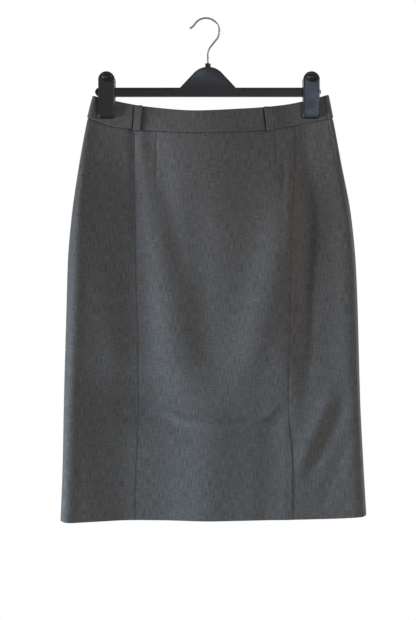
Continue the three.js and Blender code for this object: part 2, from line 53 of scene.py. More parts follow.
def addNode(tree, kind, settings=None, links=None):
    # One shader node with its settings, by property or socket name or number, and what feeds it
    node = tree.nodes.new("ShaderNode" + kind)
    for name, value in (settings or {}).items():
        if isinstance(name, str) and hasattr(node, name):
            setattr(node, name, value)
        else:
            node.inputs[name].default_value = value
    for name, source in (links or {}).items():
        tree.links.new(source, node.inputs[name])
    return node


def newMaterial(name):
    material = bpy.data.materials.new(name)
    material.use_nodes = True
    tree = material.node_tree
    tree.nodes.clear()
    return material, tree


def finishMaterial(tree, settings, links):
    shader = addNode(tree, "BsdfPrincipled", settings, links)
    addNode(tree, "OutputMaterial", links={"Surface": shader.outputs["BSDF"]})


def addNoise(tree, place, scale, detail, roughness=0.5):
    settings = {"Scale": scale, "Detail": detail, "Roughness": roughness}
    return addNode(tree, "TexNoise", settings, {"Vector": place}).outputs["Fac"]


def mixColours(tree, dark, light, factor):
    colours = {"data_type": "RGBA", 6: linearColour(dark), 7: linearColour(light)}
    return addNode(tree, "Mix", colours, {"Factor": factor}).outputs[2]


suiting = {
    "dark": "464544",        # the darker yarn of the melange
    "light": "7e7d7b",       # the lighter yarn
    "yarnWide": 1.2,         # mm across one streak; real yarn is 0.3, drawn coarser so that it shows
    "yarnLong": 16.0,        # mm down one warp streak
    "weftShare": 0.42,       # how much the weft's streaks show beside the warp's
    "threadSpacing": 1.1,    # mm between threads in the relief, drawn coarse for the same reason
    "bandPitch": 0.314,      # mm between the wave node's bands at a scale of one
    "roughness": 0.88,
    "sheen": 0.10,
}


def makeSuiting():
    # Wool blend suiting, a fine plain weave of two greys: matt, with short streaks along the
    # warp, weaker ones along the weft and a faint soft edge of fibre
    material, tree = newMaterial("woolBlendSuiting")
    uv = addNode(tree, "UVMap", {"uv_map": "clothMetres"})
    millimetres = addNode(tree, "VectorMath", {"operation": "SCALE", "Scale": 1000.0},
                          {0: uv.outputs["UV"]}).outputs[0]
    streaks = []
    wide, long = 1 / suiting["yarnWide"], 1 / suiting["yarnLong"]
    for scale in ([wide, long, 1], [long * 1.3, wide, 1]):
        stretched = addNode(tree, "Mapping", {"Scale": scale}, {"Vector": millimetres})
        streaks.append(addNoise(tree, stretched.outputs[0], 1.0, 2.0, 0.6))
    crossed = addNode(tree, "Mix", {"data_type": "FLOAT", "Factor": suiting["weftShare"]},
                      {2: streaks[0], 3: streaks[1]})
    contrast = addNode(tree, "MapRange", {"From Min": 0.3, "From Max": 0.7},
                       {"Value": crossed.outputs[0]})
    colour = mixColours(tree, suiting["dark"], suiting["light"], contrast.outputs[0])
    threads = []
    for direction in ("X", "Y"):
        threads.append(addNode(tree, "TexWave",
                               {"wave_type": "BANDS", "bands_direction": direction,
                                "Scale": suiting["bandPitch"] / suiting["threadSpacing"],
                                "Distortion": 0.6},
                               {"Vector": millimetres}))
    weave = addNode(tree, "Math", {"operation": "MULTIPLY"},
                    {0: threads[0].outputs["Fac"], 1: threads[1].outputs["Fac"]})
    relief = addNode(tree, "Math", {"operation": "MULTIPLY_ADD", 1: 0.8},
                     {0: crossed.outputs[0], 2: weave.outputs[0]})
    bump = addNode(tree, "Bump", {"Strength": 0.5, "Distance": 0.00018},
                   {"Height": relief.outputs[0]})
    finishMaterial(tree, {"Roughness": suiting["roughness"], "Sheen Weight": suiting["sheen"],
                          "Sheen Roughness": 0.45, "Sheen Tint": linearColour("d6dde6"),
                          "Specular IOR Level": 0.25},
                   {"Base Color": colour, "Normal": bump.outputs["Normal"]})
    return material


def makeThread():
    # Polyester sewing thread, spun and dyed to match: a shade darker than the cloth, slightly silky
    material, tree = newMaterial("spunPolyesterThread")
    place = addNode(tree, "TexCoord").outputs["Object"]
    colour = mixColours(tree, "2c2b2b", "434242", addNoise(tree, place, 2500.0, 1.0))
    finishMaterial(tree, {"Roughness": 0.55, "Sheen Weight": 0.1}, {"Base Color": colour})
    return material


def makePlastic():
    # Polypropylene, injection moulded in black: even and satin, with faint flow clouds in its
    # gloss and fine rubbing marks from handling
    material, tree = newMaterial("mouldedBlackPolypropylene")
    place = addNode(tree, "TexCoord").outputs["Object"]
    clouds = addNoise(tree, place, 60.0, 3.0)
    rubbed = addNode(tree, "Mapping", {"Scale": (900.0, 900.0, 60.0), "Rotation": (0.0, 0.5, 0.0)},
                     {"Vector": place})
    marks = addNoise(tree, rubbed.outputs[0], 1.0, 2.0)
    gloss = addNode(tree, "MapRange", {"From Min": 0.3, "From Max": 0.7,
                                       "To Min": 0.22, "To Max": 0.32}, {"Value": clouds})
    bump = addNode(tree, "Bump", {"Strength": 0.25, "Distance": 0.00005}, {"Height": marks})
    finishMaterial(tree, {"IOR": 1.49},
                   {"Base Color": mixColours(tree, "121316", "1c1d20", clouds),
                    "Roughness": gloss.outputs[0], "Normal": bump.outputs["Normal"]})
    return material


def makeSteel(name, hexCode, roughness):
    # Drawn steel: bright, with fine lines left by the die running along it
    material, tree = newMaterial(name)
    place = addNode(tree, "TexCoord").outputs["Object"]
    drawn = addNode(tree, "Mapping", {"Scale": (4000.0, 4000.0, 300.0)}, {"Vector": place})
    lines = addNoise(tree, drawn.outputs[0], 1.0, 2.0)
    gloss = addNode(tree, "MapRange", {"To Min": roughness - 0.06, "To Max": roughness + 0.08},
                    {"Value": lines})
    bump = addNode(tree, "Bump", {"Strength": 0.1, "Distance": 0.00002}, {"Height": lines})
    finishMaterial(tree, {"Base Color": linearColour(hexCode), "Metallic": 1.0},
                   {"Roughness": gloss.outputs[0], "Normal": bump.outputs["Normal"]})
    return material


cloth = makeSuiting()
thread = makeThread()
plastic = makePlastic()
zincWire = makeSteel("brightZincPlatedWire", "a09990", 0.34)
springSteel = makeSteel("temperedSpringSteel", "8f8c88", 0.34)
print("materials ready")


# The skirt's surface

waist = {"halfPinch": 2.0, "arch": 16.0, "flatPast": 5.0, "noseRadius": 4.2, "noseFrom": 1.0}
clip = {"width": 26.0, "top": -84.3, "bottom": -157.6, "left": -156.0, "right": 165.4,
        "corner": 4.7}

# The tube at each height: its edges seen from the front, how far front and back stand off the
# hanger's plane where it hangs free, and how far the clips still hold it flat
sections = {
    "z":     [-118, -157, -225, -310, -385, -445, -600, -700, -795],
    "left":  [-177.0, -186.5, -199.0, -211.0, -217.0, -218.5, -222.5, -224.5, -228.0],
    "right": [192.0, 200.0, 212.5, 228.0, 235.0, 237.5, 241.5, 246.5, 252.0],
    "front": [24, 26, 29, 32, 34, 35, 36, 36, 37],
    "back":  [23, 25, 28, 31, 33, 34, 35, 35, 36],
    "pinch": [1.0, 1.0, 0.86, 0.55, 0.32, 0.17, 0.0, 0.0, 0.0],
}

# Heights of the band's top, the waist seam and the hem, from the left edge (-1) to the right (1)
edgeLines = {
    "across": [-1.0, -0.93, -0.8, -0.5, -0.1, 0.3, 0.6, 0.8, 1.0],
    "top":    [-121.2, -124.2, -129.3, -139.2, -145.6, -141.6, -136.0, -128.8, -119.7],
    "seam":   [-156.0, -160.5, -168.4, -175.7, -180.2, -177.9, -171.0, -163.0, -155.9],
    "hem":    [-787.5, -788.6, -787.6, -786.0, -786.0, -784.5, -783.0, -781.5, -778.5],
}

# The two long front seams, as places across at each height
frontSeams = {
    "z":     [-160, -240, -270, -340, -410, -530, -610, -660, -710, -795],
    "left":  [-112.8, -113.0, -112.6, -110.7, -109.0, -105.2, -105.2, -108.3, -112.9, -115.1],
    "right": [140.1, 138.6, 136.8, 130.9, 129.3, 128.4, 128.2, 129.6, 130.9, 130.1],
}

# Hanging free the tube is rounder than a box and squarer than an ellipse: the power says how
# square, and folds die away in the last part of the way to each edge
tube = {"power": 6, "edgeFade": 0.05}

# How far the side seams lie from the edges and the back seam from the middle, in radians
turn = {"leftSide": 0.25, "rightSide": 0.3, "backSeam": 0.04}

# The two slits: where they open, the cloth behind them and how their edges lie over each other
slit = {"top": -608.0, "underlap": 34.0, "inset": 10.0, "liftWidth": 24.0, "liftRun": 60.0,
        "overlap": 3.0, "overlapFrom": 32.0, "overlapRun": 50.0, "underWide": 9.0, "sewnRun": 6.0}

# Folds: a line from top to bottom across the cloth, its half width and its rise, and whether
# it dies away again at the bottom
frontFolds = [
    # x, z, toX, toZ, width, rise, closed
    (-192, -120, -217, -800, 13, 5, 0),    # left roll
    (-125, -150, -100, -640, 46, -14, 1),  # left hollow
    (-112, -520, -98, -800, 64, -20, 0),   # low left hollow
    (-100, -190, -45, -600, 20, 3, 1),     # left crest
    (-20, -230, 0, -610, 28, -4, 1),       # middle hollow
    (138, -250, 38, -620, 26, 6, 1),       # right crest
    (122, -160, 102, -620, 40, 5, 1),      # right shelf
    (168, -165, 152, -660, 12, -3, 1),     # hollow under the right clip
    (210, -200, 240, -800, 20, 3, 0),      # right roll
    (207, -560, 136, -718, 12, 4, 1),      # pull towards the right slit
    (226, -575, 150, -738, 11, -3, 1),     # furrow beside that pull
    (232, -640, 170, -775, 11, -1.5, 1),   # furrow above the hem
    (10, -590, 4, -800, 32, 3, 0),         # low middle crest
    (103, -590, 96, -800, 17, -3, 0),      # hollow left of the right slit
]
backFolds = [
    (-196, -230, -216, -800, 17, 4, 0),    # left roll
    (-152, -170, -136, -700, 20, -7, 1),   # left hollow
    (-98, -230, -50, -620, 26, 5, 1),      # left crest
    (12, -230, 6, -640, 32, -6, 1),        # middle hollow
    (112, -245, 62, -590, 26, 5, 1),       # right crest
    (150, -150, 128, -800, 42, -11, 0),    # right hollow
    (206, -230, 236, -800, 18, 4, 0),      # right roll
]

# Finer creases and the darts, which the CAD leaves out
frontCreases = [
    (-104, -140, -86, -380, 8, 1.3, 1),       # more of the left crest, high up
    (-100, -110, -24, -450, 17, -2.8, 1),     # hollow beside it, sloping to the middle
    (-50, -400, -14, -600, 25, 2.0, 1),       # more of the left crest, low down
    (155, -240, 62, -600, 23, 3.2, 1),        # more of the right crest
    (136, -330, 116, -600, 22, 3.0, 1),       # and its wide shoulder
    (154, -60, 153, -570, 13, -3.4, 1),       # deeper under the right clip
    (-165, -400, -172, -800, 20, -2.2, 1),    # the left panel stays flat low down
    (-205, -560, -212, -860, 46, 4.0, 0),     # and faces a little to the right there
    (-100, -600, -92, -860, 38, 7.0, 1),      # less of the low left hollow near the hem
    (101, -590, 98, -800, 15, 1.6, 0),        # less of the hollow left of the right slit
    (232, -180, 244, -800, 46, 6.0, 0),       # the right panel faces a little to the left
    (-116, -110, -112, -400, 6, -2.9, 1),     # valley along the left seam
    (131, -200, 124, -420, 6, 1.2, 1),        # light ridge beside the right seam
    (-77.1, -110, -79.6, -278, 1.8, -1.2, 1),  # left dart
    (105.0, -110, 112.2, -245, 1.8, -1.2, 1),  # right dart
    (125, -222, 118, -272, 5, -1.6, 1),       # short furrow beside the right dart
    (122.5, -600, 123, -800, 4.5, 0.3, 0),    # rolled edge over the right slit
    (-112, -600, -118, -800, 4.5, 0.2, 0),    # rolled edge over the left slit
    (86, -664, 136, -600, 7, -1.1, 1),        # pull below the right end of the drag line
]
backCreases = [
    (-88, -130, -86, -300, 1.7, -1.1, 1),     # left dart
    (96, -130, 94, -300, 1.7, -1.1, 1),       # right dart
    (-40, -240, -64, -420, 7, -1.4, 1),       # furrows below the waist
    (70, -250, 84, -400, 7, -1.2, 1),
    (-120, -560, -60, -690, 10, 1.6, 1),      # soft ridges low down
    (140, -590, 84, -700, 10, 1.5, 1),
]

# The soft drag line that hangs between the tops of the two slits
dragLine = {"x": [-95, -60, -38, 14, 60, 93, 121],
            "z": [-603, -617, -628, -635, -632, -622, -598],
            "rise": [0.0, 1.2, 2.0, 2.0, 1.8, 2.4, 0.0],
            "wide": 7, "hollow": 0.6, "hollowDown": 16, "hollowWide": 11, "fades": (20, 12)}

# Hanging cloth is a little uneven, from this height down and fully so after this run
unevenness = {"rise": 0.28, "from": -185, "run": 120}


def smooth(t):
    # Three times the square less twice the cube, between 0 and 1
    u = np.clip(t, 0, 1)
    return u * u * (3 - 2 * u)


def unit(vectors):
    # Each vector over its own length
    return vectors / np.linalg.norm(vectors, axis=-1, keepdims=True)


def runAlong(points):
    # Running length along a line of points
    return np.concatenate([[0], np.cumsum(np.linalg.norm(np.diff(points, axis=0), axis=1))])


def bell(away, width):
    # e to the minus square of the distance over the width
    return np.exp(-(away / width)**2)


def readTable(table, key, column, place):
    # Cubic Hermite curve through the rows, its slope at a row the harmonic mean of the slopes
    # beside it, or nought where they have opposite signs
    keys = np.array(table[key], float)
    values = np.array(table[column], float)
    if keys[0] > keys[-1]:
        keys, values = keys[::-1], values[::-1]
    slopes = np.diff(values) / np.diff(keys)
    before, after = slopes[:-1], slopes[1:]
    total = before + after
    tangents = np.concatenate([slopes[:1], np.zeros(len(keys) - 2), slopes[-1:]])
    harmonic = 2 * before * after / np.where(total == 0, 1, total)
    tangents[1:-1] = np.where(before * after > 0, harmonic, 0)
    row = np.clip(np.searchsorted(keys, place, side="right") - 1, 0, len(keys) - 2)
    span = keys[row + 1] - keys[row]
    t = np.clip((place - keys[row]) / span, 0, 1)
    rise = values[row + 1] - values[row]
    start, end = tangents[row] * span, tangents[row + 1] * span
    return (values[row] + start * t + (3 * rise - 2 * start - end) * t**2
            + (start + end - 2 * rise) * t**3)


def foldRise(folds, x, z):
    # Sum of rounded ridges, each faded in over the first three tenths of its line and, if
    # closed, out over the last
    total = np.zeros_like(x)
    for startX, startZ, endX, endZ, width, rise, closed in folds:
        alongX, alongZ = endX - startX, endZ - startZ
        length = math.hypot(alongX, alongZ)
        t = ((x - startX) * alongX + (z - startZ) * alongZ) / length**2
        away = ((x - startX) * alongZ - (z - startZ) * alongX) / length
        fade = smooth(t / 0.3) * (smooth((1 - t) / 0.3) if closed else 1)
        total += rise * fade * bell(away, width)
    return total


def edgesAt(z):
    return readTable(sections, "z", "left", z), readTable(sections, "z", "right", z)


def surface(angle, z):
    # Outer face of the skirt. Across is minus the cosine of the angle, so 0 is the left edge and
    # pi the right one. Held by the clips it is a flat fold with an arch between them and a round
    # nose at each edge; hanging free it is a soft oblong, a superellipse; the pinch mixes the two
    # and the folds add to them.
    across = -np.cos(angle)
    left, right = edgesAt(z)
    x = (left + right) / 2 + across * (right - left) / 2
    onFront = np.sin(angle) >= 0
    pinch = readTable(sections, "z", "pinch", z)
    depth = np.where(onFront, readTable(sections, "z", "front", z),
                     readTable(sections, "z", "back", z))
    free = depth * np.maximum(0, 1 - across**tube["power"])**(1 / tube["power"])
    fromLeft, fromRight = x - left, right - x
    half, nose = clip["width"] / 2, waist["noseRadius"]
    archFrom = clip["left"] + half + waist["flatPast"]
    archTo = clip["right"] - half - waist["flatPast"]
    inside = np.clip((x - archFrom) / (archTo - archFrom), 0, 1)
    flat = waist["halfPinch"] + waist["arch"] * np.sin(np.pi * inside)**2
    gap = half + waist["noseFrom"]
    for away, room in ((fromLeft, clip["left"] - gap - left),
                       (fromRight, right - clip["right"] - gap)):
        flat = flat + (nose - waist["halfPinch"]) * smooth((room - away) / (room - nose))
    tight = np.maximum(0, 1 - np.minimum(fromLeft, fromRight) / nose)
    held = flat * np.sqrt(np.maximum(0, 1 - tight**2))
    folds = np.where(onFront, foldRise(frontFolds, x, z), foldRise(backFolds, x, z))
    off = pinch * held + (1 - pinch) * free
    off = off + smooth((1 - np.abs(across)) / tube["edgeFade"]) * folds
    return np.stack([x, np.where(onFront, -off, off), z], -1)


def outward(angle, z):
    # Unit normal: the cross product of the steps across and up
    across = surface(angle + 0.004, z) - surface(angle - 0.004, z)
    up = surface(angle, z + 1.5) - surface(angle, z - 1.5)
    return unit(np.cross(across, up))


def fineRelief(angle, z):
    # What the CAD leaves out: creases, darts, the drag line and a slight unevenness of hanging
    # cloth, a sum of three slow sine waves
    x = surface(angle, z)[..., 0]
    onFront = np.sin(angle) >= 0
    relief = np.where(onFront, foldRise(frontCreases, x, z), foldRise(backCreases, x, z))
    away = z - readTable(dragLine, "x", "z", x)
    hollow = bell(away + dragLine["hollowDown"], dragLine["hollowWide"])
    drag = bell(away, dragLine["wide"]) - dragLine["hollow"] * hollow
    drag = drag * readTable(dragLine, "x", "rise", x)
    fadeIn, fadeOut = dragLine["fades"]
    within = smooth((x - dragLine["x"][0]) / fadeIn) * smooth((dragLine["x"][-1] - x) / fadeOut)
    relief += np.where(onFront, drag * within, 0)
    waves = np.sin(x / 19 + z / 47 + 1.0) + np.sin(x / 31 - z / 38 + 2.6) + np.sin(z / 23 - x / 70)
    below = smooth((unevenness["from"] - z) / unevenness["run"])
    relief += unevenness["rise"] * below * waves
    return smooth((1 - np.abs(np.cos(angle))) / tube["edgeFade"]) * relief


def heightAt(line, angle):
    return readTable(edgeLines, "across", line, -np.cos(angle))


def angleAt(side, x, z):
    # The angle at which the front or back passes a place across
    left, right = edgesAt(z)
    across = np.clip((2 * x - left - right) / (right - left), -1, 1)
    angle = np.arccos(-across)
    return angle if side == "front" else 2 * np.pi - angle


def stretchAt(angle, z):
    # Millimetres along the cloth for one radian of angle
    return np.linalg.norm(surface(angle + 0.01, z) - surface(angle - 0.01, z), axis=-1) / 0.02


seams = {
    "leftSide": lambda z: np.full_like(z, -turn["leftSide"]),
    "leftFront": lambda z: angleAt("front", readTable(frontSeams, "z", "left", z), z),
    "rightFront": lambda z: angleAt("front", readTable(frontSeams, "z", "right", z), z),
    "rightSide": lambda z: np.full_like(z, np.pi - turn["rightSide"]),
    "backCentre": lambda z: np.full_like(z, 1.5 * np.pi + turn["backSeam"]),
    "leftSideFromBack": lambda z: np.full_like(z, 2 * np.pi - turn["leftSide"]),
}


def newObject(name, mesh, material, smoothAngle=None):
    mesh.materials.clear()
    mesh.materials.append(material)
    mesh.shade_smooth()
    if smoothAngle is not None:
        mesh.set_sharp_from_angle(angle=math.radians(smoothAngle))
    piece = bpy.data.objects.new(name, mesh)
    scene.collection.objects.link(piece)
    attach(piece, root)
    return piece


def meshFrom(name, points, faces, uv=None):
    # points in millimetres; uv is one pair for each point
    mesh = bpy.data.meshes.new(name)
    mesh.from_pydata((points / 1000).tolist(), [], faces)
    if uv is not None:
        layer = mesh.uv_layers.new(name="clothMetres")
        corners = np.zeros(len(mesh.loops), np.int32)
        mesh.loops.foreach_get("vertex_index", corners)
        layer.data.foreach_set("uv", (uv[corners] / 1000).astype(np.float32).ravel())
    mesh.update()
    return mesh


def wallFaces(rows, columns):
    # Quads of an outer grid, of an inner grid turned round, and of the rim that joins them
    count = rows * columns
    index = np.arange(count).reshape(rows, columns)
    corners = [index[:-1, :-1], index[1:, :-1], index[1:, 1:], index[:-1, 1:]]
    outer = np.stack(corners, -1).reshape(-1, 4)
    inner = outer[:, ::-1] + count
    rim = np.concatenate([index[0], index[1:, -1], index[-1, -2::-1], index[-2:0:-1, 0]])
    following = np.roll(rim, -1)
    join = np.stack([rim, following, following + count, rim + count], -1)
    return np.concatenate([outer, inner, join]).tolist()


def closeSet(length, step, near=(0, 0.12, 0.35, 0.7, 1.15, 1.8, 2.8)):
    # Places from 0 to 1 along a length: close together at both ends, evenly between
    ends = np.array(near)
    count = max(2, int(round((length - 2 * near[-1]) / step)))
    middle = np.linspace(near[-1], length - near[-1], count)
    return np.concatenate([ends[:-1], middle, (length - ends[:-1])[::-1]]) / length


def arcAcross(points):
    # Running length along each row, counted from the middle column
    steps = np.linalg.norm(np.diff(points, axis=1), axis=-1)
    run = np.concatenate([np.zeros((len(points), 1)), np.cumsum(steps, axis=1)], axis=1)
    return run - run[:, run.shape[1] // 2, None]


def roundedWall(outerAt, thickness, edgeDistance, radius):
    # The wall's two faces close in on its middle at the rim, by a quarter circle: what is left
    # of the thickness is the root of 1 less the square of 1 less distance over radius
    near = np.clip(edgeDistance / radius, 0, 1)
    full = np.sqrt(1 - (1 - near)**2)
    drop = thickness / 2 * (1 - full)
    return outerAt(-drop), outerAt(-thickness + drop)


def edgeDistances(points, z, high, low):
    # Millimetres from each point of a grid to its four edges, and to the nearest of them
    run = arcAcross(points)
    away = [run - run[:, :1], run[:, -1:] - run, high - z, z - low]
    return away + [np.minimum.reduce(away)]


def addCloth(name, node, walls, across, up):
    # A closed wall from its outer and inner grids. The weave follows its lengths along the cloth.
    uv = np.stack([across, up], -1).reshape(-1, 2)
    points = np.concatenate([wall.reshape(-1, 3) for wall in walls])
    mesh = meshFrom(name, points, wallFaces(*across.shape), np.concatenate([uv, uv]))
    piece = newObject(name, mesh, cloth)
    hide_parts(node)
    return piece


seamFinish = {"grooveDeep": 0.45, "grooveWide": 1.6, "pucker": 0.14, "puckerReach": 6.0,
              "waistPull": 2.2, "bandPull": 0.5}
hemFinish = {"allowance": 39.0, "extra": 0.7, "mark": 0.16, "markWide": 1.5}
panelFinish = {"thickness": 1.2, "length": 615, "step": 1.7, "down": 3.0, "edgeRadius": 0.9}

# The lapped zip in the centre back seam
zipLap = {"bottom": -352.0, "wide": 9.0, "proud": 0.9, "fade": 20.0, "edge": 1.5, "dent": 0.35,
          "dentWide": 1.0, "dentFade": 6.0, "stitchTop": -184.0, "stitchEnd": 8.0,
          "stitchOff": 0.75, "downPoints": 60, "turnPoints": 12}


def seamRelief(away, run, sewn):
    # A narrow groove at the seam, and a pucker beside it from three sine waves along the seam
    groove = -seamFinish["grooveDeep"] * bell(away, seamFinish["grooveWide"])
    ripple = np.sin(run / 1.9) + 0.7 * np.sin(run / 3.1 + 1.3) + 0.5 * np.sin(run / 7.3)
    ripple = seamFinish["pucker"] * ripple * np.exp(-away / seamFinish["puckerReach"])
    return sewn * (groove + ripple)


def addPanel(piece):
    # A panel between two seams, from the waist seam to the hem. Columns follow the angle and
    # rows the height, settled in three passes because each seam's angle depends on the height.
    u = closeSet(piece["width"], panelFinish["step"])[None, :]
    v = closeSet(panelFinish["length"], panelFinish["down"])[:, None]
    middle = np.array([[-400.0]])
    start, end = seams[piece["from"]](middle), seams[piece["to"]](middle)
    angle = start + u * (end - start) + 0 * v
    for _ in range(3):
        high, low = heightAt("seam", angle), heightAt("hem", angle)
        z = high + v * (low - high)
        start, end = seams[piece["from"]](z), seams[piece["to"]](z)
        if piece.get("over"):
            down = slit["top"] - slit["overlapFrom"] - z
            end = end + slit["overlap"] * smooth(down / slit["overlapRun"]) / stretchAt(end, z)
        angle = start + u * (end - start)
    base, normal = surface(angle, z), outward(angle, z)
    fromLeft, fromRight, fromTop, fromHem, edge = edgeDistances(base, z, high, low)
    aboveSlit = smooth((z - slit["top"]) / slit["sewnRun"])
    belowSlit = smooth((slit["top"] - z) / slit["liftRun"])
    leftSewn, rightSewn = (aboveSlit if piece[end] in ("leftFront", "rightFront") else 1.0
                           for end in ("from", "to"))
    relief = fineRelief(angle, z)
    relief += seamRelief(fromLeft, z, leftSewn) + seamRelief(fromRight, z + 40, rightSewn)
    relief += seamFinish["waistPull"] * seamRelief(fromTop, base[..., 0], 1.0)
    relief += hemFinish["mark"] * bell(fromHem - hemFinish["allowance"], hemFinish["markWide"])
    if piece.get("over"):
        relief += piece["over"] * smooth(1 - fromRight / slit["liftWidth"]) * belowSlit
    if piece.get("under"):
        relief -= piece["under"] * bell(fromLeft, slit["underWide"]) * belowSlit
    if piece.get("lap"):
        # The lap over the zip stands proud of the other side and dies away at its lower end
        within = smooth((zipLap["wide"] + zipLap["edge"] - fromLeft) / zipLap["edge"])
        relief += zipLap["proud"] * smooth((z - zipLap["bottom"]) / zipLap["fade"]) * within
        dent = zipLap["dent"] * bell(fromLeft - zipLap["wide"], zipLap["dentWide"])
        relief -= dent * smooth((z - zipLap["bottom"]) / zipLap["dentFade"])
    turnedUp = smooth((hemFinish["allowance"] + 1 - fromHem) / 2)
    thick = panelFinish["thickness"] + hemFinish["extra"] * turnedUp
    walls = roundedWall(lambda off: base + normal * (relief + off)[..., None],
                        thick, edge, panelFinish["edgeRadius"])
    panel = addCloth(piece["name"], piece["node"], walls, arcAcross(base), z)


# Flat sizes in metres and square metres are measured along the model's own cloth, as finished
panels = [
    {"name": "centreFrontPanel", "node": "centre_front_panel", "from": "leftFront",
     "to": "rightFront", "width": 240, "over": 0.6, "under": 0.2, "flat": (0.258, 0.619),
     "area": 0.150, "hangsFrom": ["front_waistband"]},
    {"name": "sideFrontPanelLeft", "node": "side_front_panel_left", "from": "leftSide",
     "to": "leftFront", "width": 115, "over": 0.3, "flat": (0.179, 0.638), "area": 0.095,
     "hangsFrom": ["front_waistband"]},
    {"name": "sideFrontPanelRight", "node": "side_front_panel_right", "from": "rightFront",
     "to": "rightSide", "width": 100, "under": 0.5, "flat": (0.114, 0.626), "area": 0.060,
     "hangsFrom": ["front_waistband"]},
    {"name": "backPanelRight", "node": "back_panel_right", "from": "rightSide",
     "to": "backCentre", "width": 235, "flat": (0.314, 0.626), "area": 0.174,
     "hangsFrom": ["back_waistband_right"]},
    {"name": "backPanelLeft", "node": "back_panel_left", "from": "backCentre",
     "to": "leftSideFromBack", "width": 225, "lap": True, "flat": (0.224, 0.633), "area": 0.131,
     "hangsFrom": ["back_waistband_left"]},
]
for piece in panels:
    addPanel(piece)
print("panels made")

bandFinish = {"proud": 0.9, "thickness": 2.4, "deep": 36, "topRadius": 1.3, "step": 0.7,
              "down": 1.6, "lean": 0.12, "unevenness": 0.12}
loopFinish = {"width": 11.5, "long": 46, "below": 5.0, "middle": -140.0, "bow": 2.0,
              "bowPower": 0.6, "footGap": 0.5, "thickness": 1.6, "fold": 0.9, "step": 0.6,
              "down": 1.5, "flat": (0.0115, 0.046), "dentDeep": 1.9, "dentWide": 0.8,
              "dentOut": 0.6}
loops = {
    # node, then side and places across at its top and bottom, then the band below it
    "beltLoopFrontLeft": ("belt_loop_front_left", ("front", -105.5, -109.5), "front_waistband"),
    "beltLoopFrontRight": ("belt_loop_front_right", ("front", 96.8, 101.0), "front_waistband"),
    "beltLoopBackLeft": ("belt_loop_back_left", ("back", -96.0, -98.0), "back_waistband_left"),
    "beltLoopBackRight": ("belt_loop_back_right", ("back", 112.0, 114.5), "back_waistband_right"),
}


def bandLean(base, aboveSeam):
    # Between the clips the band leans in towards its top
    return bandFinish["lean"] * aboveSeam * smooth((np.abs(base[..., 1]) - 3) / 10)


def loopDents(x, v, onFront):
    # The band is pressed in along both sides of each loop sewn over it, deeper than a real one
    # so that the line shows
    dents = np.zeros_like(x)
    down = v * bandFinish["deep"] / (bandFinish["deep"] + loopFinish["below"])
    for _, (side, topX, bottomX), _ in loops.values():
        away = np.abs(x - topX - down * (bottomX - topX)) - loopFinish["width"] / 2
        dent = bell(away - loopFinish["dentOut"], loopFinish["dentWide"])
        dents += np.where(onFront == (side == "front"), loopFinish["dentDeep"] * dent, 0)
    return dents


def addBand(piece):
    # A waistband between two seams, turned over at its top, on the same kind of grid as a panel
    u = closeSet(piece["width"], bandFinish["step"])[None, :]
    v = closeSet(bandFinish["deep"], bandFinish["down"])[:, None]
    start, end = seams[piece["from"]](np.zeros((1, 1))), seams[piece["to"]](np.zeros((1, 1)))
    angle = start + u * (end - start) + 0 * v
    high, low = heightAt("top", angle), heightAt("seam", angle)
    z = high + v * (low - high)
    base, normal = surface(angle, z), outward(angle, z)
    fromLeft, fromRight, fromTop, fromLow, edge = edgeDistances(base, z, high, low)
    x = base[..., 0]
    relief = bandFinish["proud"] + seamRelief(fromLeft, z, 1.0) + seamRelief(fromRight, z, 1.0)
    relief += seamFinish["bandPull"] * seamRelief(fromLow, x + 11, 1.0)
    uneven = (np.sin(x / 13 + z / 9) + np.sin(x / 29 + 2)) * smooth(fromTop / 6)
    relief += bandFinish["unevenness"] * uneven
    relief -= bandLean(base, fromLow) + loopDents(x, v, np.sin(angle) >= 0)
    walls = roundedWall(lambda off: base + normal * (relief + off)[..., None],
                        bandFinish["thickness"], edge, bandFinish["topRadius"])
    band = addCloth(piece["name"], piece["node"], walls, arcAcross(base), z - high)


bands = [
    {"name": "frontWaistband", "node": "front_waistband", "from": "leftSide", "to": "rightSide",
     "width": 380, "flat": (0.396, 0.037),
     "hangsFrom": ["clip_jaw_front_left", "clip_jaw_front_right"]},
    {"name": "backWaistbandRight", "node": "back_waistband_right", "from": "rightSide",
     "to": "backCentre", "width": 195, "flat": (0.218, 0.036),
     "hangsFrom": ["clip_jaw_back_right"]},
    {"name": "backWaistbandLeft", "node": "back_waistband_left", "from": "backCentre",
     "to": "leftSideFromBack", "width": 190, "flat": (0.183, 0.038),
     "hangsFrom": ["clip_jaw_back_left"]},
]
for piece in bands:
    addBand(piece)
print("waistband made")

pleatFinish = {"thickness": 1.1, "behind": 2.3, "length": 172, "step": 3.0, "down": 4.0,
               "aboveSlit": 6.0, "short": 1.5, "edgeRadius": 0.8, "flat": (0.044, 0.184)}


def addUnderlay(name, node, seam):
    # The cloth behind a slit, from under its right side to its own edge behind the left one
    width = slit["underlap"] + slit["inset"]
    u = closeSet(width, pleatFinish["step"])[None, :]
    v = closeSet(pleatFinish["length"], pleatFinish["down"])[:, None]
    top = slit["top"] + pleatFinish["aboveSlit"]
    z = top + 0 * u * v
    angle = seam(z)
    for _ in range(3):
        z = top + v * (heightAt("hem", angle) + pleatFinish["short"] - top)
        angle = seam(z) + (u * width - slit["underlap"]) / stretchAt(seam(z), z)
    base, normal = surface(angle, z), outward(angle, z)
    edge = edgeDistances(base, z, z[:1], z[-1:])[-1]
    depth = -pleatFinish["behind"] + 0 * z
    walls = roundedWall(lambda off: base + normal * (depth + off)[..., None],
                        pleatFinish["thickness"], edge, pleatFinish["edgeRadius"])
    underlay = addCloth(name, node, walls, arcAcross(base), z)


addUnderlay("kickPleatUnderlayLeft", "kick_pleat_underlay_left", seams["leftFront"])
addUnderlay("kickPleatUnderlayRight", "kick_pleat_underlay_right", seams["rightFront"])


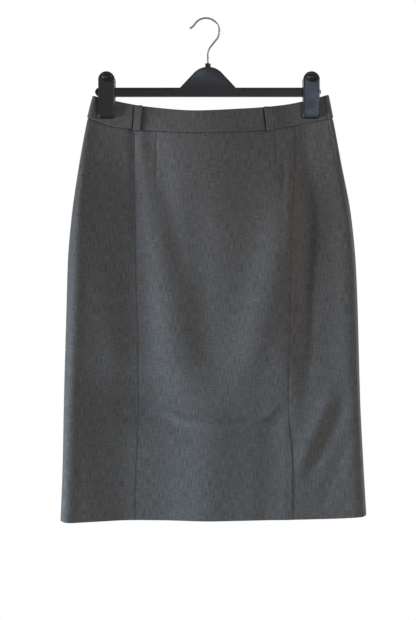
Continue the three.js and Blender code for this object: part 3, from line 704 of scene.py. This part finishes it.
def loopPoint(loop, u, v, off):
    # A place on a belt loop: u across it, v from the band's top to just below the waist seam.
    # It stands off the band by a bow, a power of half a sine wave.
    side, topX, bottomX = loop
    middleX = topX + v * (bottomX - topX)
    middle = angleAt(side, middleX, np.full_like(middleX, loopFinish["middle"]))
    high = heightAt("top", middle)
    z = high + v * (heightAt("seam", middle) - loopFinish["below"] - high)
    way = 1 if side == "front" else -1
    angle = angleAt(side, middleX + way * (u - 0.5) * loopFinish["width"], z)
    lift = bandFinish["proud"] + loopFinish["footGap"] + loopFinish["thickness"] + off
    bowed = np.sin(np.pi * np.clip(v, 0, 1))**loopFinish["bowPower"]
    lift = lift + loopFinish["bow"] * bowed
    base = surface(angle, z)
    lift = lift - bandLean(base, np.maximum(0, z - heightAt("seam", middle)))
    return base + outward(angle, z) * lift[..., None]


def addLoop(name, node, loop):
    near = (0, 0.15, 0.4, 0.8, 1.2)
    u = closeSet(loopFinish["width"], loopFinish["step"], near)[None, :]
    v = closeSet(loopFinish["long"], loopFinish["down"], near)[:, None]
    u, v = u + 0 * v, v + 0 * u
    across = np.minimum(u, 1 - u) * loopFinish["width"]
    down = np.minimum(v, 1 - v) * loopFinish["long"]
    # Folded edges stand a touch above the middle, with a groove of edge stitching between
    crown = 0.2 * bell(across - 0.9, 0.7) - 0.4 * bell(across - 2.2, 0.6)
    walls = roundedWall(lambda off: loopPoint(loop, u, v, off + crown),
                        loopFinish["thickness"], np.minimum(across, down), loopFinish["fold"])
    piece = addCloth(name, node, walls, u * loopFinish["width"], -v * loopFinish["long"])


for name, (node, loop, band) in loops.items():
    addLoop(name, node, loop)
print("belt loops made")


stitchSize = {"long": 2.5, "gap": 0.5, "thick": 0.42, "rings": 5, "sides": 6, "sunk": 0.35,
              "bow": 0.6, "thinnest": 0.08}


def tubeFaces(count, rings, sides):
    # Quads round a number of equal tubes, then the caps at their starts and at their ends
    first = np.arange(count)[:, None] * rings * sides
    base = first[:, :, None] + np.arange(rings - 1)[None, :, None] * sides
    j = np.arange(sides)
    k = (j + 1) % sides
    quads = np.stack([base + j, base + k, base + sides + k, base + sides + j], -1)
    return (quads.reshape(-1, 4).tolist() + (first + sides - 1 - j).tolist()
            + (first + (rings - 1) * sides + j).tolist())


def addStitches(name, starts, ends, normals):
    # Each stitch is a short bowed thread, a few rings from its start to its end
    rings, sides = stitchSize["rings"], stitchSize["sides"]
    t = np.linspace(0, 1, rings)[None, :, None]
    bow = np.sin(np.pi * t)
    rise = normals[:, None] * (bow - stitchSize["sunk"]) * stitchSize["thick"] * stitchSize["bow"]
    lines = starts[:, None] + (ends - starts)[:, None] * t + rise
    side = unit(np.cross(unit(ends - starts), normals))
    turnBy = np.linspace(0, 2 * np.pi, sides, endpoint=False)
    thin = stitchSize["thick"] / 2 * np.sqrt(np.maximum(stitchSize["thinnest"], bow))
    ring = (np.cos(turnBy)[:, None] * side[:, None, None]
            + np.sin(turnBy)[:, None] * normals[:, None, None])
    points = (lines[:, :, None] + thin[..., None] * ring).reshape(-1, 3)
    faces = [face[::-1] for face in tubeFaces(len(starts), rings, sides)]
    newObject(name, meshFrom(name, points, faces), thread)


def splitRun(points, normals):
    # Evenly spaced stitches along a line of points
    run = runAlong(points)
    pitch = stitchSize["long"] + stitchSize["gap"]
    begins = np.arange(0, run[-1] - stitchSize["long"], pitch)

    def at(place):
        return np.stack([np.interp(place, run, points[:, i]) for i in range(3)], -1)

    facing = np.stack([np.interp(begins, run, normals[:, i]) for i in range(3)], -1)
    return at(begins), at(begins + stitchSize["long"]), facing


def zipStitching():
    # Down the lap beside the centre back seam, then across to the seam below the zip
    end = zipLap["bottom"] + zipLap["stitchEnd"]
    down = np.linspace(zipLap["stitchTop"], end, zipLap["downPoints"])
    sweep = np.linspace(0, np.pi / 2, zipLap["turnPoints"])[1:]
    z = np.concatenate([down, down[-1] - zipLap["wide"] * np.sin(sweep)])
    off = zipLap["wide"] * np.concatenate([np.ones_like(down), np.cos(sweep)])
    seamAngle = seams["backCentre"](z)
    angle = seamAngle + off / stretchAt(seamAngle, z)
    normal = outward(angle, z)
    return surface(angle, z) + normal * zipLap["stitchOff"], normal


# Bar tacks: places in shares of a loop's width and length, and millimetres off its face
tack = {"stitches": 15, "across": (0.14, 0.86), "ends": ((0.012, 0.052), (0.948, 0.988)),
        "off": 0.02, "beside": 0.02}


def addTacks(name, loop):
    # A close row of stitches across each end of a loop
    u = np.linspace(*tack["across"], tack["stitches"])
    off = np.full_like(u, tack["off"])
    rows = []
    for low, high in tack["ends"]:
        start, end = (loopPoint(loop, u, np.full_like(u, v), off) for v in (low, high))
        beside = loopPoint(loop, u + tack["beside"], np.full_like(u, low), off) - start
        normal = unit(np.cross(end - start, beside))
        normal *= np.sign(normal[:, 1:2]) * (-1 if loop[0] == "front" else 1)
        rows.append((start, end, normal))
    addStitches(name, *(np.concatenate(part) for part in zip(*rows)))


addStitches("zipStitching", *splitRun(*zipStitching()))
for name, (_, loop, _) in loops.items():
    addTacks(name + "Tacks", loop)
print("sewing made")


hook = {"wire": 3.0, "bend": 21.0, "fromAngle": -31.0, "toAngle": 151.0, "arcPoints": 14,
        "rings": 220, "sides": 20, "smoothAngle": 50,
        "shank": [(3.0, -78.1), (3.0, -62.0), (3.1, -55.0), (6.6, -45.0)],
        "tip": [(-22.4, -13.2), (-26.0, -15.0)]}


def hookPath():
    # A straight shank, an easy bend to the right, an arc over the rail and a tip turned out
    # again: a curve of Catmull and Rom through these points, their knots the roots of the gaps
    arc = np.radians(np.linspace(hook["fromAngle"], hook["toAngle"], hook["arcPoints"]))
    centreZ = hook["wire"] / 2 - hook["bend"]
    crown = list(zip(hook["bend"] * np.cos(arc), centreZ + hook["bend"] * np.sin(arc)))
    points = np.array(hook["shank"] + crown + hook["tip"])
    before = 2 * points[0] - points[1]
    after = 2 * points[-1] - points[-2]
    points = np.concatenate([[before], points, [after]])
    gaps = np.linalg.norm(np.diff(points, axis=0), axis=1)
    knots = np.concatenate([[0], np.cumsum(np.sqrt(gaps))])
    tangents = (points[2:] - points[:-2]) / (knots[2:] - knots[:-2])[:, None]
    inner, knots = points[1:-1], knots[1:-1]
    place = np.linspace(knots[0], knots[-1], hook["rings"])
    row = np.clip(np.searchsorted(knots, place, side="right") - 1, 0, len(knots) - 2)
    span = (knots[row + 1] - knots[row])[:, None]
    t = ((place - knots[row])[:, None]) / span
    line = ((2 * t**3 - 3 * t**2 + 1) * inner[row] + (t**3 - 2 * t**2 + t) * span * tangents[row]
            + (3 * t**2 - 2 * t**3) * inner[row + 1] + (t**3 - t**2) * span * tangents[row + 1])
    return np.stack([line[:, 0], np.zeros(len(line)), line[:, 1]], -1)


def addHook():
    # A ring round each point of the path, smaller at the tip by a quarter circle
    path = hookPath()
    run = runAlong(path)
    half, sides = hook["wire"] / 2, hook["sides"]
    near = np.clip((run[-1] - run) / half, 0.02, 1)
    radius = (half * np.sqrt(1 - (1 - near)**2))[:, None, None]
    tangent = unit(np.gradient(path, axis=0))
    side = unit(np.cross(tangent, [0.0, 1.0, 0.0]))
    up = np.cross(side, tangent)
    turnBy = np.linspace(0, 2 * np.pi, sides, endpoint=False)[None, :, None]
    ring = np.cos(turnBy) * side[:, None] + np.sin(turnBy) * up[:, None]
    points = path[:, None] + radius * ring
    faces = tubeFaces(1, len(path), sides)
    piece = newObject("hangerHook", meshFrom("hangerHook", points.reshape(-1, 3), faces),
                      zincWire, hook["smoothAngle"])
    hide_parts("hanger_hook")


addHook()


# Widths in millimetres and angles in degrees
moulding = {"merge": 0.002, "flat": 2, "sharp": 35, "round": 0.7, "segments": 3}


def addMoulding(name, node):
    # A copy of a CAD solid with its doubles merged and a small round on its sharp edges
    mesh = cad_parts[node].data.copy()
    mesh.name = name
    work = bmesh.new()
    work.from_mesh(mesh)
    bmesh.ops.remove_doubles(work, verts=work.verts, dist=moulding["merge"] / 1000)
    bmesh.ops.dissolve_limit(work, angle_limit=math.radians(moulding["flat"]), verts=work.verts,
                             edges=work.edges)
    work.to_mesh(mesh)
    work.free()
    piece = newObject(name, mesh, plastic, moulding["sharp"])
    bevel = piece.modifiers.new("edges", "BEVEL")
    bevel.width = moulding["round"] / 1000
    bevel.segments = moulding["segments"]
    bevel.limit_method = "ANGLE"
    bevel.angle_limit = math.radians(moulding["sharp"])
    bevel.use_clamp_overlap = True
    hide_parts(node)


addMoulding("hangerBar", "hanger_bar")

jaw = {"sideRound": 1.9, "faceRound": 2.2, "dimple": (1.5, -94.3), "dimpleWide": 9.2,
       "dimpleHigh": 6.4, "dimpleDeep": 2.6, "wall": 1.2, "rim": 0.4, "topRows": 18,
       "sideRows": 34, "cornerRows": 8, "columns": 41, "smoothAngle": 40}

# The jaw from the side: how far its outer and inner faces stand from the hanger's plane
jawSide = {
    "z":     [-157.6, -150, -140, -125.4, -122.9, -119.4, -108.7, -104.7, -96, -84.3],
    "outer": [7.65, 8.8, 9.85, 11.2, 11.5, 11.85, 13.25, 13.6, 14.4, 14.05],
    "inner": [3.25, 3.25, 3.25, 3.25, 4.85, 4.85, 4.85, 4.85, 7.4, 10.85],
}


def addJaw(name, node, centre, side):
    # A spring clip's jaw as a height over the front view: half width from its round top, straight
    # sides and round corners; the face falls away near its sides by a quarter circle and is
    # hollowed by an oval thumb rest
    top, bottom, corner, half = clip["top"], clip["bottom"], clip["corner"], clip["width"] / 2
    opening = np.linspace(0.02, np.pi / 2, jaw["topRows"])
    closing = np.linspace(0, np.pi / 2 - 0.02, jaw["cornerRows"])[1:]
    heights = np.concatenate([top - half * (1 - np.cos(opening)),
                              np.linspace(top - half, bottom + corner, jaw["sideRows"])[1:],
                              bottom + corner * (1 - np.sin(closing))])
    z = heights[:, None]
    inTop = np.clip(z - (top - half), 0, half)
    inCorner = np.clip(bottom + corner - z, 0, corner)
    wide = np.where(inTop > 0, np.sqrt(half**2 - inTop**2),
                    half - corner + np.sqrt(corner**2 - inCorner**2))
    u = np.sin(np.linspace(-np.pi / 2, np.pi / 2, jaw["columns"]))[None, :]
    x = u * wide
    fromSide = wide - np.abs(x)
    fromEnd = np.minimum(top - z, z - bottom) + 0 * u
    edge = np.minimum(fromSide, fromEnd)
    outer = readTable(jawSide, "z", "outer", z) + 0 * u
    inner = np.minimum(np.interp(z, jawSide["z"], jawSide["inner"]) + 0 * u, outer - jaw["wall"])
    near = np.clip(edge / jaw["sideRound"], 0, 1)
    outer = outer - jaw["faceRound"] * (1 - np.sqrt(1 - (1 - near)**2))
    awayX, awayZ = x - jaw["dimple"][0], z - jaw["dimple"][1]
    dimple = 1 - (awayX / jaw["dimpleWide"])**2 - (awayZ / jaw["dimpleHigh"])**2
    outer = outer - jaw["dimpleDeep"] * smooth(dimple * 0.9) ** 0.8
    outer = np.maximum(outer, inner + jaw["rim"])
    face = np.stack([centre + x, side * outer, z + 0 * x], -1)
    back = np.stack([centre + x, side * inner, z + 0 * x], -1)
    if side > 0:
        face, back = face[:, ::-1], back[:, ::-1]
    points = np.concatenate([face.reshape(-1, 3), back.reshape(-1, 3)])
    mesh = meshFrom(name, points, wallFaces(*x.shape))
    piece = newObject(name, mesh, plastic, jaw["smoothAngle"])
    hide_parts(node)


for place, centre in (("Left", clip["left"]), ("Right", clip["right"])):
    addJaw("clipJawFront" + place, "clip_jaw_front_" + place.lower(), centre, -1)
    addJaw("clipJawBack" + place, "clip_jaw_back_" + place.lower(), centre, 1)
    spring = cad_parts["clip_spring_" + place.lower()]
    spring.data.materials.clear()
    spring.data.materials.append(springSteel)
print("hanger made")


studio = {"floor": "ededeb", "mottle": "f8f8f7", "floorHeight": -1250.0, "floorHalf": 1.3,
          "ambient": 0.03, "mirrored": 0.28}

# Where each light stands and points and its size, in metres, then its watts and colour, and its
# spread in degrees where it isn't a half turn.
# A warm far window grazes the whole cloth from the left and a blue one its lower part, against
# a neutral light from the right of the camera. Two lights behind reach the back and the edges.
# Two weak cards in front and two lamps above show mostly in the plastic's gloss.
lights = {
    "farWindow": ((-4.8, -1.0, -1.5), (0, 0, -0.45), (1.5, 1.5), 225, (1.0, 0.62, 0.42)),
    "lowWindow": ((-3.2, -0.68, -1.15), (0, 0, -1.05), (0.9, 0.9), 14, (0.05, 0.6, 1.0), 60),
    "roomLight": ((2.8, -2.8, 0.15), (0, 0, -0.45), (1.2, 1.2), 36, (1.0, 0.96, 0.93)),
    "rimLight": ((3.4, 1.8, 0.0), (0, 0, -0.45), (1.2, 1.2), 60, (1.0, 0.97, 0.92)),
    "backLight": ((-1.6, 3.6, 0.2), (0, 0, -0.45), (1.4, 1.4), 35, (1.0, 0.98, 0.96)),
    "paleCard": ((0.2, -3.3, -0.1), (0, 0, -0.3), (1.6, 1.8), 4.0, (1.0, 0.95, 0.93)),
    "blueCard": ((0.62, -2.7, -0.35), (0.1, 0, -0.1), (0.35, 0.5), 5.6, (0.42, 0.66, 1.0)),
    "topLight": ((0.3, 0.4, 1.6), (0, 0, -0.1), (2.0, 0.4), 6, (1.0, 0.85, 0.7)),
    "warmLamp": ((1.3, -0.5, 1.9), (0.1, 0, -0.1), (0.8, 0.8), 7, (1.0, 0.6, 0.3)),
}


def addFloor():
    # Painted board: matt and even, with a faint mottle from the roller
    material, tree = newMaterial("mattPaintedBoard")
    mottle = addNoise(tree, addNode(tree, "TexCoord").outputs["Object"], 3.0, 2.0)
    colour = mixColours(tree, studio["floor"], studio["mottle"], mottle)
    finishMaterial(tree, {"Roughness": 0.9}, {"Base Color": colour})
    half, height = studio["floorHalf"], studio["floorHeight"] / 1000
    mesh = bpy.data.meshes.new("paleFloor")
    mesh.from_pydata([(-half, -half, height), (half, -half, height), (half, half, height),
                      (-half, half, height)], [], [(0, 1, 2, 3)])
    mesh.materials.append(material)
    floor = bpy.data.objects.new("paleFloor", mesh)
    scene.collection.objects.link(floor)


def addLight(name, at, to, size, watts, colour, spread=180):
    light = bpy.data.lights.new(name, "AREA")
    light.shape = "RECTANGLE"
    light.size, light.size_y = size
    light.energy = watts
    light.color = colour
    light.spread = math.radians(spread)
    lamp = bpy.data.objects.new(name, light)
    scene.collection.objects.link(lamp)
    direction = np.array(to) - np.array(at)
    flat = math.hypot(direction[0], direction[1])
    lamp.location = at
    lamp.rotation_euler = (math.atan2(flat, -direction[2]), 0,
                           math.atan2(direction[1], direction[0]) - math.pi / 2)


def addWorld():
    world = bpy.data.worlds.new("whiteSurround")
    world.use_nodes = True
    tree = world.node_tree
    tree.nodes.clear()
    seen = addNode(tree, "Background", {"Color": (1, 1, 1, 1), "Strength": 1.0})
    ray = addNode(tree, "LightPath")
    # Gloss shows a pale room, brighter than the light that the room gives
    strength = addNode(tree, "Math", {"operation": "MULTIPLY_ADD", 1: studio["mirrored"],
                                      2: studio["ambient"]}, {0: ray.outputs["Is Glossy Ray"]})
    given = addNode(tree, "Background", {"Color": (1.0, 0.97, 0.94, 1)},
                    {"Strength": strength.outputs[0]})
    both = addNode(tree, "MixShader", links={0: ray.outputs["Is Camera Ray"],
                                             1: given.outputs[0], 2: seen.outputs[0]})
    addNode(tree, "OutputWorld", links={"Surface": both.outputs[0]})
    scene.world = world
    scene.view_settings.view_transform = "Standard"


# Where the camera stands and how high its frame is at the hanger, in millimetres
photoView = {"across": 3.15, "distance": 2200, "height": -458.3, "frameHigh": 976.5, "sensor": 36.0}


def addCamera():
    # Level, square to the hanger and in front of it
    data = bpy.data.cameras.new("photoCamera")
    data.sensor_fit = "VERTICAL"
    data.sensor_height = photoView["sensor"]
    data.lens = photoView["sensor"] * photoView["distance"] / photoView["frameHigh"]
    data.clip_end = 30.0
    camera = bpy.data.objects.new("photoCamera", data)
    scene.collection.objects.link(camera)
    camera.location = (photoView["across"] / 1000, -photoView["distance"] / 1000,
                       photoView["height"] / 1000)
    camera.rotation_euler = (math.pi / 2, 0, 0)
    scene.camera = camera


addFloor()
for name, facts in lights.items():
    addLight(name, *facts)
addWorld()
addCamera()
print("studio ready")
